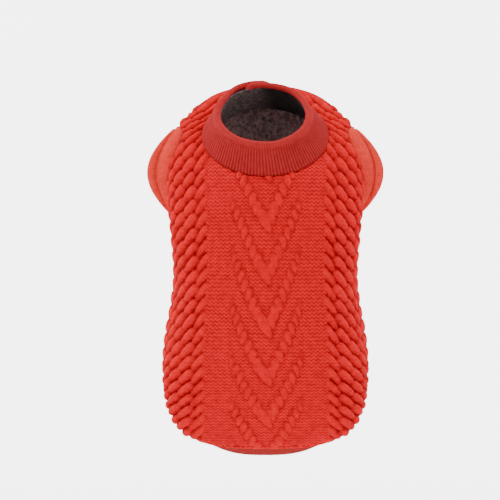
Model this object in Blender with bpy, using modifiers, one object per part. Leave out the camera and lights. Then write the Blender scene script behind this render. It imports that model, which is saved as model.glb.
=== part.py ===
"""A dog sweater, filled out and hollow, as it sits on a standing dog seen from above.

A cable-knit body of a back panel and a belly panel, a folded rib collar that laps over itself at
the throat, two cap sleeves with narrow cuffs, a rib hem and a dark fleece lining.
Metres, +Z towards the head, the dog's back towards -Y, its left side towards -X.
The origin is the centre of the neck seam.
"""

import math
from typing import NamedTuple

import bmesh
import bpy
import numpy as np

MM = 0.001

# Walls and seams
KNIT_WALL = 3.0 * MM
SLEEVE_WALL = 2.4 * MM
HEM_WALL = 2.6 * MM
LINING_WALL = 1.8 * MM
SEAM_GAP = 0.3 * MM
CLEARANCE = 0.35 * MM
LINING_CLEARANCE = 1.1 * MM

# Neck: the ring slopes up from the back to the throat
NECK_TILT = math.radians(42)
NECK_EDGE_RADIUS = 54 * MM

# Where the side seams run, as a share of the way round from the spine to the belly
SIDE_SEAM = 0.60
NECK_SEAM_SHARE = 0.84
SEAM_STRAIGHT_FROM = 3.0
SEAM_SHARE = SEAM_GAP / (150 * MM)
SEAM_SHARE_LEANING = 2.0 * SEAM_SHARE

# Armholes, ovals seen from the side
ARMHOLE_Y = 22 * MM
ARMHOLE_Z = -34.5 * MM
ARMHOLE_HALF_DEPTH = 28 * MM
ARMHOLE_HALF_HEIGHT = 42 * MM
ARMHOLE_SIDES = 32
ARMHOLE_CUT_FROM = 54 * MM
ARMHOLE_CUT_TO = 125 * MM
LINING_ARMHOLE_TRIM = 4 * MM
SLEEVE_TURN_IN = 2 * MM

# Cuffs: the rim bows outwards in the middle, further on the belly side than on the back side
CUFF_X = 86 * MM
CUFF_Z = -33.5 * MM
CUFF_BOW = 19.3 * MM
CUFF_BOW_CHANGE = 3.5 * MM
CUFF_HALF_DEPTH = 22 * MM
CUFF_HALF_HEIGHT = 38 * MM
CUFF_LENGTH = 7 * MM
CUFF_NARROW = 0.6
CUFF_WALL = 3.4 * MM

# Collar: a folded strip, wider at its foot than at its rim
COLLAR_FOOT_RADIUS = 57.5 * MM
COLLAR_RIM_RADIUS = 43.8 * MM
COLLAR_HEIGHT = 28 * MM
COLLAR_FOOT_WALL = 4.4 * MM
COLLAR_FOOT_GAP = 0.7 * MM
COLLAR_RIM_WALL = 4.8 * MM
COLLAR_RIM_SHIFT = -2.6 * MM
COLLAR_START = math.radians(-181)
COLLAR_END = math.radians(203)
COLLAR_LAP_FROM = math.radians(-118)
COLLAR_LAP_FULL = math.radians(-154)
COLLAR_LAP_STEP = 5.2 * MM
COLLAR_STEPS = 48
COLLAR_LINING_DROP = 4.5 * MM

# Mesh density
PANEL_ROWS = 19
BACK_COLUMNS = 10
BELLY_COLUMNS = 7
SLEEVE_ROWS = 4
HEM_COLUMNS = 36
HEM_ROWS = 3
ROUND_SAMPLES = 160

SIDES = (("left", -1), ("right", 1))

CLOTH_ROUGHNESS = 0.95
KNIT_RED = (0.74, 0.055, 0.035, 1)
RIB_RED = (0.60, 0.035, 0.028, 1)
SLEEVE_RED = (0.80, 0.10, 0.06, 1)
FLEECE = (0.032, 0.022, 0.021, 1)


class Section(NamedTuple):
    """One level of the body, a slanted loop from the spine to the belly, in millimetres."""

    back_y: float
    back_z: float
    belly_y: float
    belly_z: float
    half_width: float
    back_square: float
    belly_square: float


NECK_Y = math.cos(NECK_TILT) * NECK_EDGE_RADIUS / MM
NECK_Z = math.sin(NECK_TILT) * NECK_EDGE_RADIUS / MM

# A squareness of 2 is an ellipse, and more is fuller at its corners.
BODY = (
    Section(-NECK_Y, -NECK_Z, NECK_Y, NECK_Z, NECK_EDGE_RADIUS / MM, 2.0, 2.0),
    Section(-49.0, -46.5, 50.0, 45.5, 68.0, 2.0, 2.0),
    Section(-55.0, -65.0, 58.0, 50.0, 79.0, 2.1, 2.1),
    Section(-59.0, -90.0, 64.5, 46.5, 87.5, 2.3, 2.2),
    Section(-61.0, -120.0, 68.0, 22.0, 87.5, 2.5, 2.2),
    Section(-62.0, -150.0, 68.5, -19.0, 84.0, 2.6, 2.2),
    Section(-62.0, -176.0, 66.5, -60.0, 82.0, 2.6, 2.2),
    Section(-62.0, -202.0, 64.5, -98.0, 84.5, 2.7, 2.2),
    Section(-61.5, -228.0, 63.0, -133.0, 90.0, 2.9, 2.2),
    Section(-58.0, -251.0, 61.0, -156.0, 92.0, 3.1, 2.3),
    Section(-50.0, -268.5, 57.0, -173.0, 89.5, 3.5, 2.3),
    Section(-41.0, -279.0, 51.0, -186.0, 81.5, 3.1, 2.3),
    Section(-27.5, -287.5, 41.0, -194.5, 64.0, 2.7, 2.3),
)
NECK_SEAM = 0
HEM_SEAM = 11
HEM_EDGE = 12
HEM_INSET = 0.8 * MM
HEM_GAP_SHARE = 0.045


# The body's surface


def section_at(place):
    """The section at a place along the body, where whole numbers are the table's rows."""
    rows = np.array(BODY)
    rows = np.vstack([2 * rows[0] - rows[1], rows, 2 * rows[-1] - rows[-2]])
    i = min(int(place), len(BODY) - 2)
    t = place - i
    before, start, end, after = rows[i : i + 4]
    smooth = (
        2 * start
        + (end - before) * t
        + (2 * before - 5 * start + 4 * end - after) * t**2
        + (3 * start - before - 3 * end + after) * t**3
    )
    return Section(*(smooth / 2))


def half_round(section):
    """Points from the spine round to the belly, at +X, spaced closely."""
    turn = np.linspace(0, math.pi / 2, ROUND_SAMPLES)
    power_back, power_belly = 2 / section.back_square, 2 / section.belly_square
    across = np.concatenate([np.sin(turn) ** power_back, np.cos(turn[1:]) ** power_belly])
    deep = np.concatenate([-(np.cos(turn) ** power_back), np.sin(turn[1:]) ** power_belly])
    across[-1] = 0
    middle_y = (section.back_y + section.belly_y) / 2
    middle_z = (section.back_z + section.belly_z) / 2
    return MM * np.stack(
        [
            section.half_width * across,
            middle_y + deep * (section.belly_y - section.back_y) / 2,
            middle_z + deep * (section.belly_z - section.back_z) / 2,
        ],
        axis=1,
    )


def body_row(place, shares):
    """Points round one section. A share is 0 at the spine and 1 at the belly, and -1 to 0 is the left."""
    shares = np.asarray(shares, float)
    shares = shares - 2 * np.round(shares / 2)
    line = half_round(section_at(place))
    along = np.concatenate([[0], np.cumsum(np.linalg.norm(np.diff(line, axis=0), axis=1))])
    at = np.abs(shares) * along[-1]
    row = np.stack([np.interp(at, along, line[:, k]) for k in range(3)], axis=1)
    row[:, 0] *= np.sign(shares)
    return row


def body_grid(places, shares, inset=0.0):
    """Rows of points on the body's outer face, moved in by inset along its normal."""
    step = 0.02
    top, bottom = 0.0, len(BODY) - 1.0
    rows = []
    for place, row in zip(places, np.broadcast_to(shares, (len(places), np.shape(shares)[-1]))):
        down = body_row(min(place + step, bottom), row) - body_row(max(place - step, top), row)
        across = body_row(place, row + step) - body_row(place, row - step)
        normal = np.cross(down, across)
        normal /= np.linalg.norm(normal, axis=1)[:, None]
        rows.append(body_row(place, row) - inset * normal)
    return np.array(rows)


def body_x(y, z):
    """How far out the body's face is at a point seen from the side."""
    low, high = 0.0, len(BODY) - 1.0
    for _ in range(40):
        place = (low + high) / 2
        section = section_at(place)
        along_y, along_z = section.belly_y - section.back_y, section.belly_z - section.back_z
        side = (y / MM - section.back_y) * along_z - (z / MM - section.back_z) * along_y
        low, high = (place, high) if side > 0 else (low, place)
    reach = along_y**2 + along_z**2
    from_back_y, from_back_z = y / MM - section.back_y, z / MM - section.back_z
    deep = 2 * (from_back_y * along_y + from_back_z * along_z) / reach - 1
    square = section.back_square if deep < 0 else section.belly_square
    return MM * section.half_width * max(0.0, 1 - abs(deep) ** square) ** (1 / square)


def neck_point(angle, radius, height, shift=0.0):
    """A point in the neck ring's own plane: angle 0 is the spine, and +90 degrees is +X."""
    across, back = radius * math.sin(angle), -radius * math.cos(angle)
    up, out = math.sin(NECK_TILT), math.cos(NECK_TILT)
    return (across + shift, back * out - height * up, back * up + height * out)


# Making objects


def new_collection(name):
    collection = bpy.data.collections.new(name)
    bpy.context.scene.collection.children.link(collection)
    return collection


def new_object(name, mesh, collection, colour=None):
    piece = bpy.data.objects.new(name, mesh)
    collection.objects.link(piece)
    if colour:
        material = bpy.data.materials.new(name)
        material.use_nodes = True
        shader = material.node_tree.nodes["Principled BSDF"]
        shader.inputs["Base Color"].default_value = colour
        shader.inputs["Roughness"].default_value = CLOTH_ROUGHNESS
        shader.inputs["Metallic"].default_value = 0.0
        mesh.materials.append(material)
    return piece


def finish_mesh(name, bm):
    mesh = bpy.data.meshes.new(name)
    bm.to_mesh(mesh)
    bm.free()
    mesh.shade_smooth()
    return mesh


def add_faces(bm, grid, closed_round, closed_along=False):
    """Faces between rows of vertices, facing the side that the rows' points turn round."""
    spans = len(grid[0]) if closed_round else len(grid[0]) - 1
    levels = len(grid) if closed_along else len(grid) - 1
    for i in range(levels):
        upper, lower = grid[i], grid[(i + 1) % len(grid)]
        for j in range(spans):
            k = (j + 1) % len(upper)
            bm.faces.new((upper[j], lower[j], lower[k], upper[k]))


def bar_mesh(name, rows):
    """A closed solid through like loops, with flat ends."""
    bm = bmesh.new()
    grid = [[bm.verts.new(tuple(point)) for point in row] for row in rows]
    add_faces(bm, grid, closed_round=True)
    bm.faces.new(grid[0])
    bm.faces.new(grid[-1][::-1])
    bmesh.ops.recalc_face_normals(bm, faces=bm.faces)
    return finish_mesh(name, bm)


def ring_mesh(name, rows):
    """A closed ring whose rows go once round its cross-section."""
    bm = bmesh.new()
    grid = [[bm.verts.new(tuple(point)) for point in row] for row in rows]
    add_faces(bm, grid, closed_round=True, closed_along=True)
    bmesh.ops.recalc_face_normals(bm, faces=bm.faces)
    return finish_mesh(name, bm)


def half_wall_mesh(name, outer, inner, middle):
    """A cloth wall's right half, open at its middle column, which lies on the mirror plane."""
    bm = bmesh.new()
    skins = []
    for points in (outer, inner):
        points[:, middle, 0] = 0
        skins.append([[bm.verts.new(tuple(point)) for point in row] for row in points])
    face, back = skins
    add_faces(bm, face, closed_round=False)
    add_faces(bm, [row[::-1] for row in back], closed_round=False)
    add_faces(bm, [back[0], face[0]], closed_round=False)
    add_faces(bm, [face[-1], back[-1]], closed_round=False)
    edge = -1 if middle == 0 else 0
    seam = [[row[edge] for row in skin] for skin in skins]
    add_faces(bm, list(zip(*seam)) if middle == 0 else seam, closed_round=False)
    return finish_mesh(name, bm)


def add_mirror(piece):
    mirror = piece.modifiers.new("mirror", "MIRROR")
    mirror.merge_threshold = 0.0001


def add_cuts(piece, cutters):
    for cutter in cutters:
        cut = piece.modifiers.new("cut", "BOOLEAN")
        cut.operation = "DIFFERENCE"
        cut.object = cutter


# The pieces


def armhole_turns():
    return np.linspace(0, 2 * math.pi, ARMHOLE_SIDES, endpoint=False)


def add_armhole_cutter(name, side, trim, collection):
    """An oval bar through the side of the body, trim smaller than the armhole."""
    rows = [
        [
            (
                side * x,
                ARMHOLE_Y + (ARMHOLE_HALF_DEPTH - trim) * math.sin(turn),
                ARMHOLE_Z + (ARMHOLE_HALF_HEIGHT - trim) * math.cos(turn),
            )
            for turn in armhole_turns()
        ]
        for x in (ARMHOLE_CUT_FROM, ARMHOLE_CUT_TO)
    ]
    cutter = new_object(name, bar_mesh(name, rows), collection)
    cutter.hide_render = True
    cutter.display_type = "WIRE"
    return cutter


def side_seam(places):
    """The side seam's middle and half its gap, as shares: it leans to the throat at the top."""
    lean = np.clip(1 - places / SEAM_STRAIGHT_FROM, 0, 1)
    middle = SIDE_SEAM + (NECK_SEAM_SHARE - SIDE_SEAM) * lean**1.5
    return middle, (SEAM_SHARE + (SEAM_SHARE_LEANING - SEAM_SHARE) * lean) / 2


def side_seam_grids(places, spread):
    """Shares round the back and round the belly, each held spread times the gap off the seam."""
    middle, gap = side_seam(places)
    back = np.linspace(0 * middle, middle - spread * gap, BACK_COLUMNS + 1, axis=1)
    belly = np.linspace(middle + spread * gap, 0 * middle + 1, BELLY_COLUMNS + 1, axis=1)
    return back, belly


def add_body_wall(name, collection, cutters, places, shares, depth, wall, colour):
    """A panel that lies depth under the body's face, in two halves joined at the mirror plane."""
    middle = 0 if shares[0, 0] == 0 else -1
    outer = body_grid(places, shares, inset=depth)
    inner = body_grid(places, shares, inset=depth + wall)
    panel = new_object(name, half_wall_mesh(name, outer, inner, middle), collection, colour)
    add_mirror(panel)
    add_cuts(panel, cutters)


def add_panels(collection, knit_cutters, lining_cutters):
    places = np.linspace(NECK_SEAM, HEM_SEAM, PANEL_ROWS + 1)
    lining_depth = KNIT_WALL + LINING_CLEARANCE
    layers = (
        ("{}_panel", knit_cutters, places, 1, 0, KNIT_WALL, KNIT_RED),
        ("lining_{}", lining_cutters, places[1:-1], 4, lining_depth, LINING_WALL, FLEECE),
    )
    for pattern, cutters, rows, spread, depth, wall, colour in layers:
        for half, shares in zip(("back", "belly"), side_seam_grids(rows, spread)):
            name = pattern.format(half)
            add_body_wall(name, collection, cutters, rows, shares, depth, wall, colour)


def cuff_loop(side, from_rim, wall):
    """A loop of the cuff: from_rim metres in from its rim, wall metres in from its outer face."""
    loop = []
    half_depth, half_height = CUFF_HALF_DEPTH - wall, CUFF_HALF_HEIGHT - wall
    for turn in armhole_turns():
        toward_belly, up = math.sin(turn), math.cos(turn)
        bow = (CUFF_BOW + CUFF_BOW_CHANGE * toward_belly) * toward_belly**2
        deep = from_rim * (CUFF_NARROW + (1 - CUFF_NARROW) * toward_belly**2)
        loop.append(
            (
                side * (CUFF_X + bow - deep),
                ARMHOLE_Y + half_depth * toward_belly,
                CUFF_Z + half_height * up,
            )
        )
    return loop


def sleeve_loop(side, share, wall):
    """A loop of the sleeve, from 0 in the armhole to 1 at the cuff, wall metres in from its face."""
    turn_in = SEAM_GAP + wall
    loop = []
    seam = cuff_loop(side, CUFF_LENGTH + SEAM_GAP, wall)
    shrink = 1 - math.cos(share * math.pi / 2)
    for turn, end in zip(armhole_turns(), seam, strict=True):
        y = ARMHOLE_Y + (ARMHOLE_HALF_DEPTH - turn_in) * math.sin(turn)
        z = ARMHOLE_Z + (ARMHOLE_HALF_HEIGHT - turn_in) * math.cos(turn)
        foot_y = ARMHOLE_Y + ARMHOLE_HALF_DEPTH * math.sin(turn)
        foot_z = ARMHOLE_Z + ARMHOLE_HALF_HEIGHT * math.cos(turn)
        x = side * (body_x(foot_y, foot_z) - SLEEVE_TURN_IN)
        loop.append((x + (end[0] - x) * share, y + (end[1] - y) * shrink, z + (end[2] - z) * shrink))
    return loop


def add_sleeve(name, side, collection):
    shares = np.linspace(0, 1, SLEEVE_ROWS + 1)
    face = [sleeve_loop(side, share, 0) for share in shares]
    back = [sleeve_loop(side, share, SLEEVE_WALL) for share in shares]
    new_object(name, ring_mesh(name, face + back[::-1]), collection, SLEEVE_RED)


def add_cuff(name, side, collection):
    """A folded band, thicker than the sleeve and round at its rim."""
    profile = (
        (CUFF_LENGTH, 0.0),
        (0.3 * CUFF_LENGTH, -0.5 * MM),
        (0.0, 0.3 * CUFF_WALL),
        (0.0, 0.7 * CUFF_WALL),
        (0.3 * CUFF_LENGTH, CUFF_WALL),
        (CUFF_LENGTH, CUFF_WALL),
    )
    rows = [cuff_loop(side, from_rim, wall) for from_rim, wall in profile]
    new_object(name, ring_mesh(name, rows), collection, RIB_RED)


def collar_profile():
    """(radius, height) round the collar's cross-section, from its foot over the fold to its foot."""
    foot, rim = COLLAR_FOOT_RADIUS, COLLAR_RIM_RADIUS
    fold = COLLAR_RIM_WALL / 2
    under_fold = COLLAR_HEIGHT - fold
    profile = [(foot, COLLAR_FOOT_GAP), ((foot + rim) / 2, under_fold / 2), (rim, under_fold)]
    for degrees in (45, 90, 135):
        turn = math.radians(degrees)
        radius = rim - fold + fold * math.cos(turn)
        profile.append((radius, under_fold + fold * math.sin(turn)))
    profile.append((rim - COLLAR_RIM_WALL, under_fold))
    profile.append((foot - COLLAR_FOOT_WALL, COLLAR_FOOT_GAP))
    return profile


def lap_step(angle):
    """How far the collar's left end stands out, over its right end."""
    share = (angle - COLLAR_LAP_FROM) / (COLLAR_LAP_FULL - COLLAR_LAP_FROM)
    share = min(max(share, 0), 1)
    return COLLAR_LAP_STEP * share * share * (3 - 2 * share)


def add_collar(name, collection):
    rows = []
    for angle in np.linspace(COLLAR_START, COLLAR_END, COLLAR_STEPS + 1):
        out = lap_step(angle)
        rows.append(
            [
                neck_point(angle, radius + out, height, COLLAR_RIM_SHIFT * height / COLLAR_HEIGHT)
                for radius, height in collar_profile()
            ]
        )
    new_object(name, bar_mesh(name, rows), collection, RIB_RED)


def add_collar_lining(name, collection):
    """A fleece ring inside the collar, from under its fold to below the edge of the knit."""
    foot = COLLAR_FOOT_RADIUS - COLLAR_FOOT_WALL - CLEARANCE
    rim = COLLAR_RIM_RADIUS - COLLAR_RIM_WALL - CLEARANCE
    top = COLLAR_HEIGHT - COLLAR_RIM_WALL / 2
    below = -COLLAR_LINING_DROP
    profile = ((foot, below), (foot, 0), (rim, top), (rim - LINING_WALL, top))
    profile += ((foot - LINING_WALL, 0), (foot - LINING_WALL, below))
    turns = np.linspace(0, 2 * math.pi, HEM_COLUMNS, endpoint=False)
    rows = [
        [
            neck_point(turn, radius, height, COLLAR_RIM_SHIFT * height / COLLAR_HEIGHT)
            for turn in turns
        ]
        for radius, height in profile
    ]
    new_object(name, ring_mesh(name, rows), collection, FLEECE)


def add_hem_band(name, collection):
    shares = np.linspace(-1, 1, HEM_COLUMNS, endpoint=False)
    places = np.linspace(HEM_SEAM + HEM_GAP_SHARE, HEM_EDGE, HEM_ROWS + 1)
    face = body_grid(places, shares, inset=HEM_INSET)
    back = body_grid(places, shares, inset=HEM_INSET + HEM_WALL)
    new_object(name, ring_mesh(name, list(face) + list(back[::-1])), collection, RIB_RED)


def main():
    for old in list(bpy.data.objects):
        bpy.data.objects.remove(old)
    sweater = new_collection("dog_sweater")
    helpers = new_collection("cutters")
    knit_cutters, lining_cutters = [
        [
            add_armhole_cutter(f"{cloth}_armhole_{word}", side, trim, helpers)
            for word, side in SIDES
        ]
        for cloth, trim in (("knit", 0), ("lining", LINING_ARMHOLE_TRIM))
    ]
    helpers.hide_render = True
    add_panels(sweater, knit_cutters, lining_cutters)
    for word, side in SIDES:
        add_sleeve(f"sleeve_{word}", side, sweater)
        add_cuff(f"cuff_{word}", side, sweater)
    add_collar("collar", sweater)
    add_collar_lining("lining_collar", sweater)
    add_hem_band("hem_band", sweater)


main()
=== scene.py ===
"""A filled-out, hollow dog sweater in cable knit: knit panels, rib collar, cuffs and hem, cap
sleeves and a fleece lining, made on the packed frame."""

import math
from typing import NamedTuple

import bpy
import numpy as np
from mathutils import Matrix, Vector


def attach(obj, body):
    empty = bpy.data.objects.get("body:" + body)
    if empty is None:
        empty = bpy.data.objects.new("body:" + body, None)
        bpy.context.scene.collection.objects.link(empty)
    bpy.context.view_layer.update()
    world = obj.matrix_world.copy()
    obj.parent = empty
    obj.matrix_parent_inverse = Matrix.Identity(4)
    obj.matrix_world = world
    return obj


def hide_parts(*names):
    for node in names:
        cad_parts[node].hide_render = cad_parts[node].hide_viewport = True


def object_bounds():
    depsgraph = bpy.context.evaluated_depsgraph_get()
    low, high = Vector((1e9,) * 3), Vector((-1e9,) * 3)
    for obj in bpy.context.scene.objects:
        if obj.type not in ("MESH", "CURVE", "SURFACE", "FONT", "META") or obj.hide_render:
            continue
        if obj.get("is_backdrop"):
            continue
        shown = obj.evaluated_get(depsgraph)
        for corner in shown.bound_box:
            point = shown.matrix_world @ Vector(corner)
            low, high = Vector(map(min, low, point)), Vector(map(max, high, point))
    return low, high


bl_info = {
    "name": "Dog Sweater",
    "version": (1, 0, 0),
    "blender": (4, 5, 0),
    "location": "View3D > Sidebar > Sweater",
    "description": "Makes a cable-knit dog sweater on its packed frame",
    "category": "Object",
}

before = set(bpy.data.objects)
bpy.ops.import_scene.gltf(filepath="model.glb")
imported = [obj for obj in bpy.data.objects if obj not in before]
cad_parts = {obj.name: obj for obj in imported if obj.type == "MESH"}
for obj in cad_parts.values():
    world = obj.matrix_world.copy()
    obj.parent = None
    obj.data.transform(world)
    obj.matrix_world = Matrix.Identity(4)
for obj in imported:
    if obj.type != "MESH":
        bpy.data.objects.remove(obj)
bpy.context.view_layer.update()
MM = 0.001

# The body's shape, the same as the frame's; the cuffs bow and flare a little more


class Section(NamedTuple):
    """One level of the body, a slanted loop from the spine to the belly, in millimetres."""

    back_y: float
    back_z: float
    belly_y: float
    belly_z: float
    half_width: float
    back_square: float
    belly_square: float


NECK_TILT = math.radians(42)
NECK_EDGE_RADIUS = 54.0
NECK_Y = math.cos(NECK_TILT) * NECK_EDGE_RADIUS
NECK_Z = math.sin(NECK_TILT) * NECK_EDGE_RADIUS

BODY = (
    Section(-NECK_Y, -NECK_Z, NECK_Y, NECK_Z, NECK_EDGE_RADIUS, 2.0, 2.0),
    Section(-49.0, -46.5, 50.0, 45.5, 68.0, 2.0, 2.0),
    Section(-55.0, -65.0, 58.0, 50.0, 79.0, 2.1, 2.1),
    Section(-59.0, -90.0, 64.5, 46.5, 87.5, 2.3, 2.2),
    Section(-61.0, -120.0, 68.0, 22.0, 87.5, 2.5, 2.2),
    Section(-62.0, -150.0, 68.5, -19.0, 84.0, 2.6, 2.2),
    Section(-62.0, -176.0, 66.5, -60.0, 82.0, 2.6, 2.2),
    Section(-62.0, -202.0, 64.5, -98.0, 84.5, 2.7, 2.2),
    Section(-61.5, -228.0, 63.0, -133.0, 90.0, 2.9, 2.2),
    Section(-58.0, -251.0, 61.0, -156.0, 92.0, 3.1, 2.3),
    Section(-50.0, -268.5, 57.0, -173.0, 89.5, 3.5, 2.3),
    Section(-41.0, -279.0, 51.0, -186.0, 81.5, 3.1, 2.3),
    Section(-27.5, -287.5, 41.0, -194.5, 64.0, 2.7, 2.3),
)
HEM_SEAM = 11.0
HEM_EDGE = 12.0
SIDE_SEAM = 0.60
NECK_SEAM_SHARE = 0.84
SEAM_STRAIGHT_FROM = 3.0

ARMHOLE_Y = 22.0
ARMHOLE_Z = -34.5
ARMHOLE_HALF_DEPTH = 28.0
ARMHOLE_HALF_HEIGHT = 42.0
CUFF_X = 86.0
CUFF_Z = -33.5
CUFF_BOW = 21.0
CUFF_FLARE = 0.36
CUFF_HALF_DEPTH = 22.0
CUFF_HALF_HEIGHT = 38.0
CUFF_LENGTH = 7.0
CUFF_NARROW = 0.6

COLLAR_START = math.radians(-181)
COLLAR_END = math.radians(203)
COLLAR_LAP_FROM = math.radians(-118)
COLLAR_LAP_FULL = math.radians(-154)
COLLAR_LAP_STEP = 4.6
COLLAR_RIM_SHIFT = -2.6
COLLAR_HEIGHT = 28.0
COLLAR_INSIDE = 37.8
COLLAR_TAPER = math.radians(17)
COLLAR_TIP = math.radians(12)
COLLAR_RIB_RADIUS = 53.0
COLLAR_DIP = 2.2
COLLAR_DIP_AT = 2.45
COLLAR_DIP_SPREAD = 0.6

# Where the knit lies, in millimetres


class Level(NamedTuple):
    """What a table gives at a height."""

    height: float
    value: float


# Half the knit's width at each height: it stretches, so that its columns stay upright

STRETCH = (
    Level(-300, 88.5),
    Level(-203, 88.5),
    Level(-180, 87.2),
    Level(-150, 84.5),
    Level(-118, 82.0),
    Level(-84, 84.0),
    Level(-40, 87.0),
    Level(80, 87.0),
)
STRETCH_AT_REST = 84.0

# How far down the knit's rows each height is; the hem gathers the last rows

KNIT_ROWS = (
    Level(-290, 313.0),
    Level(-257, 268.4),
    Level(-220, 222.5),
    Level(-194, 194.0),
    Level(-40, 40.0),
    Level(60, -60.0),
)

# How it lies at the neck, the shoulders, the corners and the hem. A pair is where a smooth step
# starts and where it is full.

SHOULDER_HEIGHT = -40.0
SHOULDER_BLEND = 35.0
SHOULDER_HALF_WIDTH = 87.5
SHOULDER_BACK_Y = -58.0
SHOULDER_SQUARE = 2.3
SHOULDER_ROWS_LIFT = 0.24
SHOULDER_ROWS_FROM = 25.0
SHOULDER_ROWS_Z = (5, 30)
NECK_LEAN = 25.0
NECK_LEAN_Z = (-10, 34)
NECK_GATHER = 0.42
NECK_GATHER_Z = (-18, 22)
BELLY_ROPES_Z = (2, 9)
BELLY_ROPES_Y = (52, 40)
DRAWN_SHOULDER_Z = (0, 20)
DRAWN_SHOULDER_X = (44, 66)
FULL_CORNER_Z = (-246, -268)
FULL_CORNER_X = (50, 72)
FULL_CORNER_Y = (20, -10)
HEM_FLAT = (HEM_SEAM - 0.14, HEM_SEAM - 0.07)
# The hem's lip is painted lighter than the yarn's top, a painted highlight: where it starts and is
# full, and how light.
HEM_LIP_HIGHLIGHT = (HEM_SEAM - 0.11, HEM_SEAM - 0.07)
LIP_HIGHLIGHT = 1.15

# The panels' size, their turned edges, and the lining behind them

HALF_GIRTH = 245.0
BELLY_TO_BACK = 0.62
EDGE_DEPTH = 3.0
# The turned-in edges are painted dark, as painted shade.
EDGE_SHADE = 0.3
DEEPEST_RELIEF = -3.4
LINING_DEPTH = 4.2
NAP = 0.3

# The cables and the ropes


class ArmLobe(NamedTuple):
    """One lobe of a V cable, in millimetres: down from the V's start, and out from the spine."""

    down: float
    out: float
    half_length: float
    half_width: float
    height: float


V_ARM = (
    ArmLobe(-5.5, 30.0, 6.4, 2.4, 0.9),
    ArmLobe(2.0, 28.6, 6.4, 2.6, 1.3),
    ArmLobe(9.5, 25.4, 6.6, 2.8, 1.7),
    ArmLobe(17.5, 22.0, 6.9, 2.9, 1.9),
    ArmLobe(25.6, 18.9, 7.1, 3.1, 2.0),
    ArmLobe(33.5, 15.2, 7.2, 3.3, 2.0),
    ArmLobe(41.8, 11.5, 7.2, 3.6, 2.0),
    ArmLobe(49.6, 7.7, 7.3, 4.0, 2.0),
)
V_CROSSING = ArmLobe(60.0, 1.2, 14.0, 5.0, 2.0)
V_LAST = ArmLobe(57.0, 5.4, 7.4, 3.6, 1.8)
V_COUNT = 8
V_FULLNESS = 1.1
V_SINK = 0.75
V_LEAN = math.radians(14)
V_UNEVEN = math.radians(1.5)
V_CROSSING_LEAN = math.radians(-27)
ROPE_COLUMNS = 6
ROPE_PHASES = (0.02, 0.19, 0.05, 0.86, 0.68, 0.50)
ROPE_WANDER = 0.06
LOBE_LEAN_MORE = math.radians(8)
LOBE_SHORTER = 0.7
FIRST_ROPE_HEIGHT = 0.9
UNDER_ALL = -9.0


def length(name, description, default_mm, least_mm=0.0):
    return bpy.props.FloatProperty(
        name=name,
        description=description,
        default=default_mm * MM,
        min=least_mm * MM,
        precision=5,
        subtype="DISTANCE",
        unit="LENGTH",
    )


def colour(name, description, value):
    return bpy.props.FloatVectorProperty(
        name=name, description=description, default=value, size=4, min=0, max=1, subtype="COLOR"
    )


class SweaterKnit(bpy.types.PropertyGroup):
    """The cable knit of the back, and the belly's plain knit with ropes over the shoulders."""

    stitch: length("Stitch width", "Width of one purl stitch", 3.8, 1)
    row: length("Row height", "Height of one row of stitches", 3.4, 1)
    purl: length("Purl height", "How far a purl row stands out of its grooves", 0.9)
    rope: length("Rope width", "Width of one side rope", 13.2, 2)
    rope_pitch: length("Rope lobe pitch", "Distance between a rope's lobes", 12.7, 2)
    rope_height: length("Rope height", "How far the side ropes stand up", 3.6)
    rope_from: length("Ropes start at", "Distance of the first rope from the spine", 50.2)
    rope_ground: length("Rope ground", "Depth of the cloth between the ropes' lobes", 2.1)
    lobe_length: length("Lobe length", "Half the length of a rope's lobe", 11.4, 2)
    lobe_width: length("Lobe width", "Half the width of a rope's lobe", 4.1, 1)
    lobe_lean: bpy.props.FloatProperty(
        name="Lobe lean",
        description="How far a rope's lobes lean out as they go down",
        default=math.radians(40),
        subtype="ANGLE",
    )
    v_repeat: length("V repeat", "Distance from one V to the next", 45.9, 10)
    v_start: length("First V", "Where the first V starts, down from the origin", 17.4)
    shoulder: length("Shoulder slope", "How far the shoulders' ropes draw the cloth in", 1.3)
    corner: length("Corner fullness", "How far the lower corners puff out", 1.8)
    v_moat: length("Moat", "How much deeper the cloth lies beside a V's arms", 0.75)
    cell: length("Cell", "Size of the mesh cells of the knit", 0.89, 0.3)
    red: colour("Red", "Colour of the yarn on top", (0.84, 0.008, 0.015, 1))
    # Deep red is painted shade: the yarn's red darkened where shade falls in its grooves.
    deep_shadow_red: colour("Deep red", "Colour of the yarn in the grooves", (0.26, 0.002, 0.004, 1))


class SweaterRib(bpy.types.PropertyGroup):
    """The ribs of the collar, the cuffs and the hem."""

    pitch: length("Rib pitch", "Distance between ribs", 2.82, 1)
    depth: length("Rib depth", "Depth of the grooves between ribs", 0.42)
    hem_pitch: length("Hem rib pitch", "Distance between the hem's ribs", 2.1, 1)
    roll: length("Rim roll", "Radius of the roll at the collar's rim", 3.9, 0.5)
    red: colour("Rib red", "Colour of the ribs", (0.50, 0.025, 0.027, 1))
    hem_red: colour("Hem red", "Colour of the hem's ribs", (0.40, 0.024, 0.018, 1))
    # Groove red is painted shade: the ribs' red darkened where shade falls in their grooves.
    groove_shadow_red: colour("Groove red", "Colour of the grooves", (0.23, 0.010, 0.012, 1))


class SweaterSleeve(bpy.types.PropertyGroup):
    """The cap sleeves."""

    puff: length("Puff", "How far the sleeve puffs out between its seams", 1.6)
    red: colour("Sleeve red", "Colour of the sleeves", (0.92, 0.050, 0.035, 1))


class SweaterLining(bpy.types.PropertyGroup):
    """The fleece lining."""

    wall: length("Thickness", "Thickness of the fleece", 1.6, 0.5)
    dark: colour("Dark", "The fleece's dark tufts", (0.145, 0.092, 0.091, 1))
    light: colour("Light", "The fleece's light tufts", (0.56, 0.40, 0.395, 1))


class SweaterStage(bpy.types.PropertyGroup):
    """Floor, lights and camera."""

    floor_gap: length("Floor gap", "Space between the hem and the floor", 90.0)
    floor_colour: colour("Floor", "Colour of the floor", (0.93, 0.93, 0.93, 1))
    camera_distance: length("Camera distance", "Distance of the camera from the neck", 2000.0)


# The body's surface


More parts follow.
